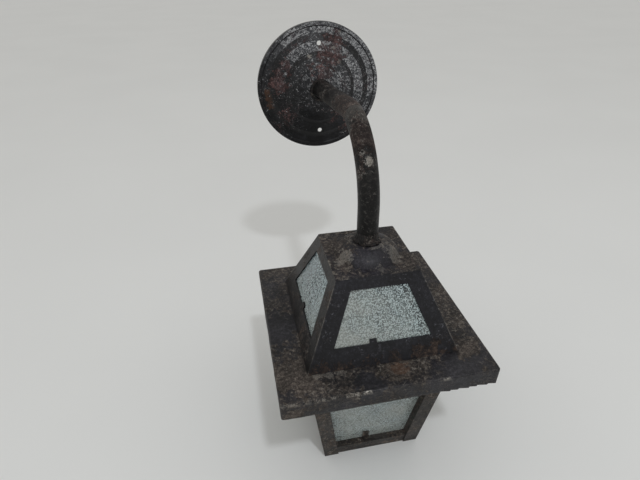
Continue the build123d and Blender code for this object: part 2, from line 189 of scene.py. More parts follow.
@dataclass(frozen=True)
class WeatheredSteel:
    """Mild steel painted black, then left outdoors: mottled paint over red-brown rust."""

    name: str
    paint: tuple[str, str, str]  # darkest, usual and most chalked colour of the paint
    rust: tuple[str, str, str]
    rust_level: float = 0.55  # how high the pattern must rise to be rust: 0.5 rusts half of it
    patch: float = 18 * MM
    fleck: str = "#8C8C8E"
    fleck_level: float = 0.75
    fleck_size: float = 3.0 * MM
    chalk: float = 0.0  # how far the paint between the flecks has gone grey
    paint_roughness: float = 0.42
    rust_roughness: float = 0.8
    dent: float = 0.5 * MM
    cloudy: float = 0.45
    shine: float = 0.3
    run_off: str = "#5E3F2A"  # rust-coloured water stains
    chalked_paint: str = "#5B5C61"
    rubbed_steel_and_highlight: str = "#A9A49C"
    rusted: tuple[Mark, ...] = ()
    kept_and_dark_reflections: tuple[Mark, ...] = ()
    scuffs_and_highlights: tuple[Mark, ...] = ()
    streaked: tuple[Mark, ...] = ()

    def marks(self, tree: Tree, place: Link, marks: tuple[Mark, ...]) -> Link | float:
        """Make one mask of all the marks of a kind.

        Args:
            tree: Node tree of the material.
            place: Object coordinates.
            marks: The marks.

        Returns:
            A mask from 0 to 1, or 0 where there are none.
        """
        total: Link | float = 0.0
        for mark in marks:
            away = add(tree, "VectorMath", {0: place, 1: mark.centre}, operation="DISTANCE")
            frayed = add(
                tree, "TexNoise",
                {"Vector": place, "Scale": 1.5 / mark.radius, "Detail": 6.0, "Roughness": 0.72},
            )
            uneven = add(
                tree, "Math", {0: frayed, 1: -4.5 * mark.radius, 2: away.outputs["Value"]},
                operation="MULTIPLY_ADD",
            )
            spot = add(
                tree, "MapRange",
                {
                    "Value": uneven, "From": (-1.15 * mark.radius, -1.5 * mark.radius),
                    "To Max": mark.strength,
                },
                interpolation_type="SMOOTHSTEP",
            )
            total = add(tree, "Math", {0: spot, 1: total}, operation="MAXIMUM")
        return total

    def bare_and_highlit(self, tree: Tree, place: Link, ragged: Link) -> Link | float:
        """Mask of the places where the paint is rubbed down to bright steel, and of the painted
        highlights drawn like scuffs.
        """
        return self.marks(tree, place, self.scuffs_and_highlights)

    def flecked(self, tree: Tree, place: Link, ragged: Link) -> Link:
        """Mask of the places where pale flecks gather."""
        return add(
            tree, "MapRange", {"Value": ragged, "From": (0.42, 0.6)},
            interpolation_type="SMOOTHSTEP",
        )

    def material(self) -> Material:
        """Build the material."""
        material, tree = blank_material(self.name)
        place = add(tree, "TexCoord").outputs["Object"]
        # patches of rust, mottling of 3 mm, and pitting of 1 mm
        names = ("Scale", "Detail", "Roughness", "Distortion")
        sizes = (self.patch, 3.2 * MM, 1.0 * MM)
        characters = ((5.0, 0.62, 0.5), (5.0, 0.7, 0.0), (3.0, 0.65, 0.0))
        broad, middle, fine = (
            add(tree, "TexNoise", {"Vector": place, **dict(zip(names, (1 / size, *character)))})
            for size, character in zip(sizes, characters)
        )
        ragged = add(tree, "Mix", {"Factor": 0.45, "A": broad, "B": middle}, data_type="FLOAT")
        stains = self.marks(tree, place, self.rusted)
        # paint kept whole, darker and smoother than the rest; on the cap's dome its dark colour is
        # a painted reflection
        kept_and_dark_reflection_mask = self.marks(tree, place, self.kept_and_dark_reflections)
        crumbled = add(tree, "MapRange", {"Value": fine, "From": (0.4, 0.56), "To Min": 0.3})
        bare_and_highlit = add(
            tree, "Math", {0: self.bare_and_highlit(tree, place, ragged), 1: crumbled}, operation="MULTIPLY"
        )

        speckled = add(tree, "Mix", {"Factor": 0.22, "A": ragged, "B": fine}, data_type="FLOAT")
        blend = add(tree, "Math", {0: stains, 1: 0.2, 2: speckled}, operation="MULTIPLY_ADD")
        blend = add(tree, "Math", {0: kept_and_dark_reflection_mask, 1: -0.3, 2: blend}, operation="MULTIPLY_ADD")
        rust_mask = add(
            tree, "MapRange",
            {"Value": blend, "From": (self.rust_level - 0.07, self.rust_level + 0.08)},
            interpolation_type="SMOOTHSTEP",
        )
        grit = add(tree, "Mix", {"Factor": 0.45, "A": middle, "B": fine}, data_type="FLOAT")
        paint, rust = (
            add(tree, "ValToRGB", {"Fac": grit}, stops=tuple(zip(places, tones)))
            for places, tones in (((0.38, 0.51, 0.65), self.paint), ((0.36, 0.5, 0.62), self.rust))
        )
        colour = add(tree, "Mix", {"Factor": rust_mask, "A": paint, "B": rust}, data_type="RGBA")
        streaks = self.marks(tree, place, self.streaked)
        colour = add(
            tree, "Mix", {"Factor": streaks, "A": colour, "B": linear(self.run_off)},
            data_type="RGBA",
        )
        # the whole coat is lighter here and darker there, in clouds of 30 mm and of 8 mm
        clouds = add(
            tree, "TexNoise",
            {
                "Vector": add(tree, "VectorMath", {0: place, 1: (0.31, 0.17, 0.23)}),
                "Scale": 1 / (30 * MM), "Detail": 3.0, "Roughness": 0.75,
            },
        )
        tone = add(
            tree, "MapRange",
            {"Value": clouds, "From": (0.36, 0.64), "To": (1 - self.cloudy, 1 + self.cloudy)},
        )
        colour = add(tree, "VectorMath", {0: colour, "Scale": tone}, operation="SCALE")
        # pale flecks of lime and zinc-white oxide, from crumbs of 1 mm to flakes of 4 mm
        dots = add(
            tree, "TexNoise",
            {
                "Vector": place, "Scale": 1 / self.fleck_size, "Detail": 4.0, "Roughness": 0.8,
                "Distortion": 1.2,
            },
        )
        gathered = self.flecked(tree, place, ragged)
        clean = add(tree, "Math", {0: stains, 1: -0.45, 2: 1.0}, operation="MULTIPLY_ADD")
        gathered = add(tree, "Math", {0: gathered, 1: clean}, operation="MULTIPLY")
        chalked = add(tree, "Math", {0: gathered, 1: self.chalk}, operation="MULTIPLY")
        fleckable = add(tree, "Math", {0: 1.0, 1: kept_and_dark_reflection_mask}, operation="SUBTRACT")
        dot_mask = add(
            tree, "MapRange",
            {
                "To Max": fleckable,
                "Value": add(
                    tree, "Math", {0: gathered, 1: 0.12, 2: dots}, operation="MULTIPLY_ADD"
                ),
                "From": (self.fleck_level - 0.04, self.fleck_level + 0.06),
            },
        )
        # rubbed bright steel; on the cap and the arm the same layer paints highlights
        layers = ((chalked, self.chalked_paint), (dot_mask, self.fleck), (bare_and_highlit, self.rubbed_steel_and_highlight))
        for mask, code in layers:
            colour = add(
                tree, "Mix", {"Factor": mask, "A": colour, "B": linear(code)}, data_type="RGBA"
            )
        dulled = add(
            tree, "Mix", {"Factor": rust_mask, "A": self.paint_roughness, "B": self.rust_roughness},
            data_type="FLOAT",
        )
        roughness = add(tree, "Math", {0: fine, 1: 0.24, 2: dulled}, operation="MULTIPLY_ADD")
        roughness = add(tree, "Math", {0: roughness, 1: 0.12}, operation="SUBTRACT")
        # hand-worked sheet is never flat: soft dents 30 mm across, under pits and scabs of rust
        hollows = add(tree, "TexNoise", {"Vector": place, "Scale": 1 / (30 * MM), "Detail": 1.0})
        dents = add(tree, "Bump", {"Strength": 1.0, "Distance": self.dent, "Height": hollows})
        scabs = add(
            tree, "Bump",
            {"Strength": 0.9, "Distance": 0.35 * MM, "Height": rust_mask, "Normal": dents},
        )
        pits = add(
            tree, "Bump", {"Strength": 0.8, "Distance": 0.4 * MM, "Height": grit, "Normal": scabs}
        )
        shader = add(
            tree, "BsdfPrincipled",
            {
                "Base Color": colour, "Metallic": bare_and_highlit, "Roughness": roughness,
                "Specular IOR Level": self.shine, "Normal": pits,
            },
        )
        show(tree, shader)
        return material


@dataclass(frozen=True)
class PlateSteel(WeatheredSteel):
    """Pressed plate: the flats have chalked, the steps between them keep their paint."""

    def flecked(self, tree: Tree, place: Link, ragged: Link) -> Link:
        """Flecks gather on faces that are parallel to the wall, above the arm and to its right."""
        facing = add(tree, "SeparateXYZ", {0: add(tree, "TexCoord").outputs["Normal"]})
        flat = add(
            tree, "MapRange",
            {"Value": facing.outputs["Y"], "From": (-0.93, -0.985), "To Min": 0.15},
        )
        lean = add(tree, "VectorMath", {0: place, 1: (3.0, 0.0, 5.5)}, operation="DOT_PRODUCT")
        gathered = add(
            tree, "MapRange",
            {
                "Value": add(tree, "Math", {0: lean.outputs["Value"], 1: ragged}, operation="ADD"),
                "From": (0.3, 0.68),
            },
        )
        return add(tree, "Math", {0: flat, 1: gathered}, operation="MULTIPLY")


@dataclass(frozen=True)
class RoofSteel(WeatheredSteel):
    """Roof sheet: its four hips are rubbed bright."""

    hip_core: float = 0.3 * MM  # half the width that is fully rubbed
    hip_edge: float = 1.1 * MM

    def bare_and_highlit(self, tree: Tree, place: Link, ragged: Link) -> Link | float:
        """Bright line along each hip, 1.5 mm wide and broken up."""
        from_axis = add(tree, "VectorMath", {0: place, 1: tuple(AXIS)}, operation="SUBTRACT")
        plan = add(
            tree, "SeparateXYZ", {0: add(tree, "VectorMath", {0: from_axis}, operation="ABSOLUTE")}
        )
        gap = add(tree, "Math", {0: plan.outputs["X"], 1: plan.outputs["Y"]}, operation="SUBTRACT")
        off_hip = add(tree, "Math", {0: gap}, operation="ABSOLUTE")
        line = add(tree, "MapRange", {"Value": off_hip, "From": (self.hip_edge, self.hip_core)})
        broken = add(tree, "MapRange", {"Value": ragged, "From": (0.44, 0.6), "To": (0.05, 0.4)})
        return add(tree, "Math", {0: line, 1: broken}, operation="MULTIPLY")


@dataclass(frozen=True)
class EaveSteel(WeatheredSteel):
    """Eave sheet: rusted all over, with bright rub marks along the folded edges."""

    def bare_and_highlit(self, tree: Tree, place: Link, ragged: Link) -> Link | float:
        """Rub marks follow the piece's own edge-wear attribute."""
        rubbed = add(tree, "Attribute", attribute_name="edge_wear")
        crumbs = add(
            tree, "TexNoise",
            {"Vector": place, "Scale": 1 / (4 * MM), "Detail": 6.0, "Roughness": 0.75},
        )
        broken = add(tree, "MapRange", {"Value": crumbs, "From": (0.46, 0.58)})
        along = add(tree, "Math", {0: rubbed.outputs["Fac"], 1: broken}, operation="MULTIPLY")
        return add(
            tree, "Math", {0: along, 1: self.marks(tree, place, self.scuffs_and_highlights)}, operation="MAXIMUM"
        )


@dataclass(frozen=True)
class CapSteel(WeatheredSteel):
    """Cap sheet: rusted like the eave, with weld scale round the tube and rubbed edges."""

    ring: float = 14.6 * MM  # radius of the weld scale
    ring_half_width: float = 1.5 * MM
    rim: tuple[float, float] = (36.4 * MM, 37.1 * MM)  # where rubbing starts and is full

    def bare_and_highlit(self, tree: Tree, place: Link, ragged: Link) -> Link | float:
        """Bright ragged ring just outside the weld, and a broken line along the plate's edges."""
        from_axis = add(tree, "VectorMath", {0: place, 1: tuple(AXIS)}, operation="SUBTRACT")
        flat = add(tree, "VectorMath", {0: from_axis, 1: (1.0, 1.0, 0.0)}, operation="MULTIPLY")
        radius = add(tree, "VectorMath", {0: flat}, operation="LENGTH").outputs["Value"]
        off_ring = add(
            tree, "Math", {0: radius, 1: self.ring, 2: self.ring_half_width}, operation="COMPARE"
        )
        plan = add(
            tree, "SeparateXYZ", {0: add(tree, "VectorMath", {0: flat}, operation="ABSOLUTE")}
        )
        reach = add(tree, "Math", {0: plan.outputs["X"], 1: plan.outputs["Y"]}, operation="MAXIMUM")
        rim = add(tree, "MapRange", {"Value": reach, "From": self.rim})
        either = add(tree, "Math", {0: off_ring, 1: rim}, operation="MAXIMUM")
        broken = add(tree, "MapRange", {"Value": ragged, "From": (0.48, 0.6), "To": (0.0, 0.4)})
        rubbed = add(tree, "Math", {0: either, 1: broken}, operation="MULTIPLY")
        return add(
            tree, "Math", {0: rubbed, 1: self.marks(tree, place, self.scuffs_and_highlights)}, operation="MAXIMUM"
        )


class Grain(Enum):
    """How a small part was made, which sets the way its fine marks run."""

    CAST = (1.0, 1.0, 1.0)  # fired, moulded or cast: marks have no direction
    TURNED = (0.25, 0.25, 6.0)  # turned on the upright axis: fine rings


@dataclass(frozen=True)
class SmallPartFinish:
    """A small part's own material, mottled by handling, dust and age."""

    name: str
    tones: tuple[str, str]
    roughness: tuple[float, float] = (0.35, 0.5)
    metallic: float = 0.0
    mottle: float = 6 * MM
    grain: Grain = Grain.CAST
    grain_size: float = 0.5 * MM
    relief: float = 0.05 * MM
    dust: float = 0.0
    coat: float = 0.0
    ior: float = 1.5

    def material(self) -> Material:
        """Build the material."""
        material, tree = blank_material(self.name)
        place = add(tree, "TexCoord").outputs["Object"]
        run = add(tree, "Mapping", {"Vector": place, "Scale": self.grain.value})
        cloud = add(
            tree, "TexNoise",
            {"Vector": place, "Scale": 1 / self.mottle, "Detail": 5.0, "Roughness": 0.6},
        )
        marks = add(
            tree, "TexNoise",
            {"Vector": run, "Scale": 1 / self.grain_size, "Detail": 3.0, "Roughness": 0.6},
        )
        both = add(tree, "Mix", {"Factor": 0.35, "A": cloud, "B": marks}, data_type="FLOAT")
        colour = add(
            tree, "ValToRGB", {"Fac": both}, stops=((0.38, self.tones[0]), (0.6, self.tones[1]))
        )
        settled = add(tree, "MapRange", {"Value": cloud, "From": (0.45, 0.7), "To Max": self.dust})
        colour = add(
            tree, "Mix", {"Factor": settled, "A": colour, "B": linear("#8B8378")}, data_type="RGBA"
        )
        roughness = add(
            tree, "MapRange", {"Value": both, "From": (0.35, 0.65), "To": self.roughness}
        )
        relief = add(tree, "Bump", {"Strength": 0.6, "Distance": self.relief, "Height": marks})
        inputs: dict[str | int, Link | float | tuple] = {
            "Base Color": colour, "Metallic": self.metallic, "Roughness": roughness,
            "Coat Weight": self.coat, "Normal": relief,
        }
        if not self.metallic:
            inputs["IOR"] = self.ior
        show(tree, add(tree, "BsdfPrincipled", inputs))
        return material


@dataclass(frozen=True)
class RolledGlass:
    """Soda-lime glass rolled on a pebbled cylinder: faintly green, with dirt between the pebbles.

    The dirt and a thin film of dust scatter part of the light, so the glass looks pale and milky;
    the pebble crowns scatter most, as painted glints.
    """

    name: str = "soda_lime_glass_rolled_pebbled"
    tint: str = "#E8FBFF"
    dirt: str = "#4C5A60"
    dust: str = "#BFC2BB"
    roughness: tuple[float, float] = (0.06, 0.18)
    # share of light scattered, where clean and where dusty
    matt: tuple[float, float] = (0.32, 0.38)

    def material(self) -> Material:
        """Build the material."""
        material, tree = blank_material(self.name)
        place = add(tree, "TexCoord").outputs["Object"]
        film = add(
            tree, "TexNoise",
            {"Vector": place, "Scale": 1 / (22 * MM), "Detail": 4.0, "Roughness": 0.6},
        )
        ripple = add(tree, "TexNoise", {"Vector": place, "Scale": 1 / (1.1 * MM), "Detail": 2.0})
        valley = add(tree, "Attribute", attribute_name="valley").outputs["Fac"]
        dust = add(tree, "Attribute", attribute_name="dust").outputs["Fac"]
        hollow = add(tree, "Mix", {"Factor": 0.55, "A": valley, "B": ripple}, data_type="FLOAT")
        hollow = add(
            tree, "MapRange", {"Value": hollow, "From": (0.34, 0.58)},
            interpolation_type="SMOOTHSTEP",
        )
        # dust fills the hollows and evens the pattern out, most of all low down
        dusty = add(
            tree, "MapRange",
            {
                "Value": add(tree, "Math", {0: dust, 1: 0.6, 2: film}, operation="MULTIPLY_ADD"),
                "From": (0.45, 1.15),
            },
        )
        pattern_left = add(tree, "MapRange", {"Value": dusty, "To": (1.0, 0.35)})
        dark = add(tree, "Math", {0: hollow, 1: pattern_left}, operation="MULTIPLY")
        colour = add(
            tree, "Mix", {"Factor": dark, "A": linear(self.tint), "B": linear(self.dirt)},
            data_type="RGBA",
        )
        colour = add(
            tree, "Mix",
            {
                "Factor": add(tree, "Math", {0: dusty, 1: 0.8}, operation="MULTIPLY"), "A": colour,
                "B": linear(self.dust),
            },
            data_type="RGBA",
        )
        matt = add(tree, "MapRange", {"Value": dusty, "To": self.matt})
        # the crowns scatter six times as much as the hollows: bright matt dots that are painted
        # glints
        crown = add(tree, "MapRange", {"Value": dark, "To": (1.5, 0.25)})
        clear = add(
            tree, "Math", {0: 1.0, 1: add(tree, "Math", {0: crown, 1: matt}, operation="MULTIPLY")},
            operation="SUBTRACT", use_clamp=True,
        )
        roughness = add(
            tree, "MapRange", {"Value": film, "From": (0.35, 0.65), "To": self.roughness}
        )
        relief = add(tree, "Bump", {"Strength": 0.35, "Distance": 0.08 * MM, "Height": ripple})
        shader = add(
            tree, "BsdfPrincipled",
            {
                "Base Color": colour, "Roughness": roughness, "IOR": 1.5,
                "Transmission Weight": clear, "Normal": relief,
            },
        )
        show(tree, shader)
        return material


@dataclass(frozen=True)
class TableLacquer:
    """White lacquered board, sprayed: an even, softly shining white with a faint orange peel."""

    name: str = "white_lacquer_sprayed"
    tones: tuple[str, str] = ("#E5E6E5", "#E7E8E7")

    def material(self) -> Material:
        """Build the material."""
        material, tree = blank_material(self.name)
        place = add(tree, "TexCoord").outputs["Object"]
        cloud = add(tree, "TexNoise", {"Vector": place, "Scale": 3.0, "Detail": 3.0})
        peel = add(tree, "TexNoise", {"Vector": place, "Scale": 1 / (4 * MM)})
        colour = add(
            tree, "ValToRGB", {"Fac": cloud}, stops=((0.35, self.tones[0]), (0.65, self.tones[1]))
        )
        relief = add(tree, "Bump", {"Strength": 0.1, "Distance": 0.05 * MM, "Height": peel})
        shader = add(
            tree, "BsdfPrincipled",
            {"Base Color": colour, "Roughness": 0.55, "Specular IOR Level": 0.3, "Normal": relief},
        )
        show(tree, shader)
        return material


@dataclass(frozen=True)
class StripedCore:
    """Extruded PVC of an earth core: green with a yellow stripe that winds slowly along it."""

    name: str = "pvc_extruded_green_yellow"
    green: str = "#2F7A35"
    yellow: str = "#D8C52E"

    def material(self) -> Material:
        """Build the material."""
        material, tree = blank_material(self.name)
        place = add(tree, "TexCoord").outputs["Object"]
        facing = add(tree, "SeparateXYZ", {0: add(tree, "TexCoord").outputs["Normal"]})
        stripe = add(tree, "MapRange", {"Value": facing.outputs["X"], "From": (-0.05, 0.05)})
        dirt = add(tree, "TexNoise", {"Vector": place, "Scale": 1 / (3 * MM), "Detail": 4.0})
        colour = add(
            tree, "Mix", {"Factor": stripe, "A": linear(self.green), "B": linear(self.yellow)},
            data_type="RGBA",
        )
        soiled = add(
            tree, "Mix",
            {
                "Factor": add(tree, "Math", {0: dirt, 1: 0.4}, operation="MULTIPLY"), "A": colour,
                "B": linear("#6F6A5E"),
            },
            data_type="RGBA",
        )
        roughness = add(tree, "MapRange", {"Value": dirt, "To": (0.35, 0.65)})
        relief = add(tree, "Bump", {"Strength": 0.4, "Distance": 0.05 * MM, "Height": dirt})
        shader = add(
            tree, "BsdfPrincipled",
            {"Base Color": soiled, "Roughness": roughness, "IOR": 1.5, "Normal": relief},
        )
        show(tree, shader)
        return material


def finishes() -> dict[str, Material]:
    """Build every finish of the lantern.

    Returns:
        The material of each material slot in the record, and of the few places with a finish of
        their own.
    """
    brown_rust = ("#1B1513", "#302723", "#4C4038")
    made = {}
    # pressed plate: black paint, chalked and flecked, dull red rust where water ran
    made["plate_paint"] = PlateSteel(
        name="mild_steel_pressed_black_paint", paint=("#09090A", "#131315", "#29292D"),
        rust=("#1E1414", "#3A2A29", "#6B504E"), rust_level=0.6, fleck="#A9AAAC", fleck_level=0.645,
        chalk=0.35,
        rusted=wall_marks(
            (11.5, -10, 38.5, 15), (20, -9, 53, 9), (2, -13, 20, 12), (-47, -8, 25, 12),
            (-48, -8, 7, 11, 0.8), (-38, -8, -34, 12, 0.5), (24, -9, -36, 20, 0.7),
        ),
        kept_and_dark_reflections=wall_marks((-2, -8, -56, 30), (-4, -8, -32, 16), (-55, -6, 40, 16, 0.7)),
        scuffs_and_highlights=wall_marks(
            (24.6, -7, 60.4, 2.2, 0.7), (-11.1, -11, 35.8, 2.8, 0.6), (22.2, -11, 28.4, 2.8, 0.7),
            (2, -12, 27.8, 2.8, 0.6), (17, -10, 44.5, 2, 0.6),
        ),
        streaked=wall_marks(
            (-61, -5.3, -2, 4, 0.45), (-59.5, -5.3, -10, 4.5, 0.45), (-58.5, -5.3, -18, 4, 0.4)
        ),
    )
    # drawn tube: rubbed grey on the outside of the bend, with a painted highlight on top of it,
    # stained brown below it
    made["arm_steel"] = WeatheredSteel(
        name="mild_steel_tube_black_paint", paint=("#060606", "#0F0E0E", "#2E2B29"), shine=0.22,
        rust=("#171211", "#2E2624", "#504641"), rust_level=0.55, fleck="#86837E", fleck_level=0.675,
        cloudy=0.65, dent=0.25 * MM, rusted=wall_marks((0, -200, 6, 22), (0, -150, 20, 30, 0.6)),
        kept_and_dark_reflections=wall_marks((0, -230, -35, 30, 0.7), (0, -230, -65, 25, 0.7)),
        # the first scuff is rubbed paint on the front of the bend; the second, faint and 16 mm
        # across on top of the bend, is a painted highlight
        scuffs_and_highlights=wall_marks((0, -218, -7.4, 3.8, 0.65), (3, -176, 21.7, 16, 0.12)),
    )
    # arc weld, chipped clean and rusted since: dark, lumpy, glassy in the hollows
    made["weld_steel"] = WeatheredSteel(
        name="weld_metal_rusted", paint=("#040404", "#0C0B0B", "#2B2826"),
        rust=("#080706", "#171211", "#453B37"), rust_level=0.5, fleck="#77736B", fleck_level=0.7,
        patch=7 * MM, paint_roughness=0.38, rust_roughness=0.65,
    )
    # roof sheet: smooth blue-black paint, rust creeping up from the eave
    made["roof_steel"] = RoofSteel(
        name="mild_steel_sheet_blue_black", paint=("#0E0E12", "#18181D", "#2A2A30"),
        rust=brown_rust, rust_level=0.64, fleck="#5F6067", fleck_level=0.715, paint_roughness=0.36,
        cloudy=0.35,
        rusted=lantern_marks(
            (40, -72, 3, 14), (10, -72, 2, 10, 0.8), (-14, -73, 0, 9, 0.8), (-38, -73, 0, 11, 0.8),
            (-60, -73, 0, 12), (62, -73, 0, 10),
        ),
    )
    # the other three roof sheets: the same paint, faded brown and speckled with rust
    made["roof_side_sheet"] = RoofSteel(
        name="mild_steel_sheet_faded_black", paint=("#100F10", "#1B1A1B", "#322F2E"),
        rust=brown_rust, rust_level=0.56, fleck="#6E6A64", fleck_level=0.695,
    )
    # eave: brown rust with islands of purple-black paint
    made["eave_steel"] = EaveSteel(
        name="mild_steel_sheet_rusted", paint=("#111014", "#212024", "#3B3A3E"),
        rust=("#1C1816", "#3A3430", "#635C55"), rust_level=0.5, patch=24 * MM, fleck="#77736D",
        fleck_level=0.68,
        rusted=lantern_marks((8, -75, 0, 13), (-80, -72, 0, 26), (70, -70, 0, 20, 0.6)),
        kept_and_dark_reflections=lantern_marks((-82, -5, 0, 24), (62, -88, 0, 18), (-20, -86, 0, 12)),
        scuffs_and_highlights=lantern_marks(
            (-60, -70, 0, 4, 0.3), (-50, -70, 0, 4.5, 0.35), (-40, -70, 0, 3.5, 0.25)
        ),
        streaked=lantern_marks((10, -76, 0, 8, 0.3)),
    )
    # posts and rails: the same sheet, greyer with dust
    made["body_steel"] = WeatheredSteel(
        name="mild_steel_sheet_folded_dusty", paint=("#1E1C1B", "#353230", "#524E4A"),
        rust=("#231C19", "#3E342E", "#5F5348"), rust_level=0.54, fleck="#837D75", fleck_level=0.68,
        paint_roughness=0.55,
    )
    # cap: the same rusted sheet, with a smooth dark patch on the front of its dome, its dark a
    # painted reflection, and a painted highlight on its right
    made["cap_sheet"] = CapSteel(
        name="mild_steel_sheet_pressed_rusted", paint=("#100F14", "#1E1D22", "#343238"),
        rust=("#1C1917", "#383230", "#665E56"), rust_level=0.5, patch=16 * MM, fleck="#857F76",
        fleck_level=0.665, paint_roughness=0.46,
        rusted=lantern_marks((-24, -14, 77, 11), (28, -24, 73, 14, 0.8), (-30, 10, 73, 16, 0.5)),
        # the smooth patch on the dome's front: kept paint whose dark colour is a painted reflection
        # of dark surroundings
        kept_and_dark_reflections=lantern_marks((-4, -21, 81, 16), (6, -22, 80, 14), (-8, -27, 77, 8)),
        # the first scuff, a grey band on the dome's right side, is a painted highlight; the others
        # are rubbed paint
        scuffs_and_highlights=lantern_marks((20, -16, 79, 9, 0.3), (-24, -12, 77, 8, 0.4), (4, -31, 73, 4, 0.2)),
    )
    made["pebbled_glass"] = RolledGlass()
    # the pane's sawn edge, packed with putty dust
    made["glass_edge"] = SmallPartFinish(
        "soda_lime_glass_sawn_edge", ("#2C3432", "#4E5956"), (0.6, 0.85), mottle=4 * MM, dust=0.5
    )
    # zinc plate gone dull and white at the edges
    made["zinc_steel"] = SmallPartFinish(
        "zinc_plated_steel_dull", ("#6E7072", "#A9ABAC"), (0.32, 0.55), 1.0, dust=0.5
    )
    # flashed opal glass, blown: milky, glossy, with a trace of dust on its shoulders
    made["opal_glass"] = SmallPartFinish(
        "opal_glass_blown", ("#CFCBC1", "#DFDCD3"), (0.08, 0.2), mottle=25 * MM, relief=0.01 * MM,
        dust=0.2, coat=0.4,
    )
    # pressed aluminium cap, satin
    made["cap_metal"] = SmallPartFinish(
        "aluminium_pressed_satin", ("#8F8E8B", "#C9C7C2"), (0.28, 0.45), 1.0, grain=Grain.TURNED
    )
    # soft solder blob on the lamp's tip
    made["solder"] = SmallPartFinish(
        "tin_solder_dull", ("#77787A", "#AFB0B1"), (0.35, 0.6), 1.0, 2 * MM
    )
    # black vitrite poured round the tip
    made["black_glass"] = SmallPartFinish(
        "vitrite_glass_cast", ("#0B0B0D", "#1A1A1D"), (0.08, 0.25), coat=0.3
    )
    # glazed porcelain, slip-pressed, aged grey-beige
    made["porcelain"] = SmallPartFinish(
        "porcelain_glazed_aged", ("#8F887C", "#B9B2A5"), (0.12, 0.35), mottle=14 * MM, dust=0.45,
        coat=0.5, relief=0.03 * MM,
    )
    # stamped brass, tarnished
    made["brass"] = SmallPartFinish(
        "brass_stamped_tarnished", ("#6B5430", "#B48F52"), (0.25, 0.5), 1.0, grain=Grain.TURNED
    )
    made["brown_insulation"] = SmallPartFinish(
        "pvc_extruded_brown", ("#3A2115", "#4C2C1C"), (0.4, 0.55), dust=0.3
    )
    made["blue_insulation"] = SmallPartFinish(
        "pvc_extruded_blue", ("#183A6E", "#20488A"), (0.4, 0.55), dust=0.3
    )
    made["green_yellow_insulation"] = StripedCore()
    made["black_rubber"] = SmallPartFinish(
        "epdm_rubber_moulded", ("#121212", "#232322"), (0.6, 0.85), dust=0.4
    )
    # injection-moulded nylon, yellowed
    made["white_nylon"] = SmallPartFinish(
        "nylon_moulded_yellowed", ("#CBC6B4", "#E2DECE"), (0.35, 0.5), dust=0.25
    )
    return {slot: finish.material() for slot, finish in made.items()}


# --- Pieces that replace CAD nodes --------------------------------------------------------------


def finished_piece(
    mesh: Mesh, name: str, body: str, slot: str, dressing: dict[str, Material]
) -> bpy.types.Object:
    """Turn a finished mesh into a piece that rides on a body.

    Args:
        mesh: The mesh, in place, in metres. It is freed.
        name: Name of the piece.
        body: CAD body that it rides on.
        slot: Material slot in the record.
        dressing: Material of each slot.

    Returns:
        The piece, which stands for the CAD node that its name names.
    """
    data = bpy.data.meshes.new(name)
    mesh.to_mesh(data)
    mesh.free()
    data.materials.append(dressing[slot])
    piece = bpy.data.objects.new(name, data)
    bpy.context.scene.collection.objects.link(piece)
    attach(piece, body)
    log.info("%s: %d faces", name, len(data.polygons))
    return piece


def revolved(points: list[tuple[float, float]], closed: bool, steps: int) -> Mesh:
    """Turn an outline round the upright axis.

    Args:
        points: Radius and height of each point, in millimetres.
        closed: Whether the last point joins the first.
        steps: Facets of the turn.

    Returns:
        The mesh, in metres.
    """
    mesh = bmesh.new()
    line = [mesh.verts.new((radius * MM, 0.0, height * MM)) for radius, height in points]
    after = line[1:] + line[:1] if closed else line[1:]
    edges = [mesh.edges.new(pair) for pair in zip(line, after)]
    bmesh.ops.spin(
        mesh, geom=line + edges, cent=(0, 0, 0), axis=(0, 0, 1), angle=2 * math.pi, steps=steps,
        use_merge=True,
    )
    bmesh.ops.remove_doubles(mesh, verts=mesh.verts, dist=0.01 * MM)
    return mesh


def smooth_outwards(mesh: Mesh) -> None:
    """Shade every face smooth and turn the faces of each shell the same way."""
    for face in mesh.faces:
        face.smooth = True
    bmesh.ops.recalc_face_normals(mesh, faces=mesh.faces)


